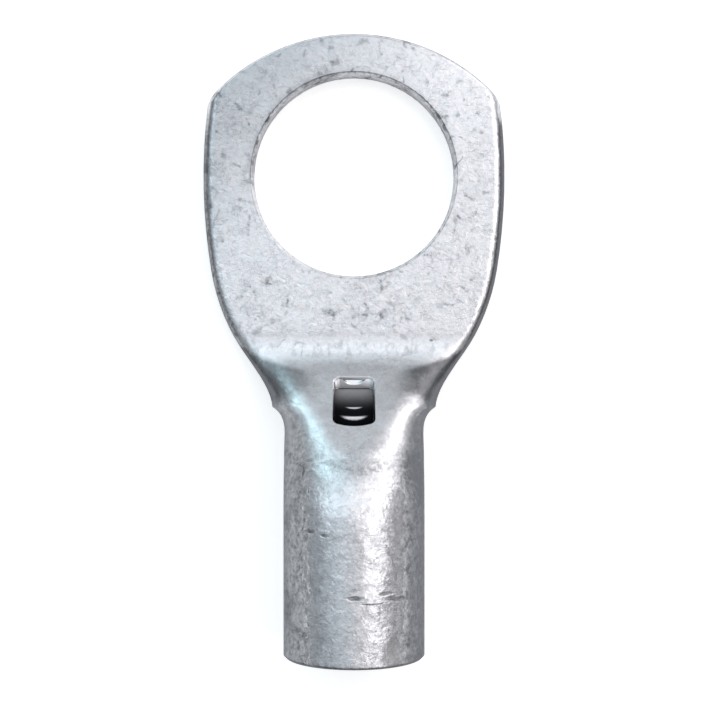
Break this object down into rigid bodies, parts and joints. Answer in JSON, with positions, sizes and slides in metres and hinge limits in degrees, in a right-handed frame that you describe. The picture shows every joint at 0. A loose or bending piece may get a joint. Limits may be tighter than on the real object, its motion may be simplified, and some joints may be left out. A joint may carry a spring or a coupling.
{
  "type": "ring terminal",
  "caption": "Tubular ring terminal: a tin-plated copper tube, pressed flat at one end into a palm with a round stud hole, and left open and round at the other end to be crimped on a wire.",
  "frame": {"origin": "centre of the stud hole on the palm's contact face, which is the flat underside", "axes": "+Z along the stud's axis, up through the palm; +Y towards the palm's tip, along the terminal; the barrel's mouth faces -Y; the part is symmetric about the plane X = 0"},
  "size_m": [0.0158, 0.0319, 0.0071],
  "materials": {
    "tinned_copper": "copper, electro-tinned, satin silver-grey with fine scratches"
  },
  "bodies": {
    "root": {"ring_terminal": "tinned_copper"}
  },
  "joints": []
}
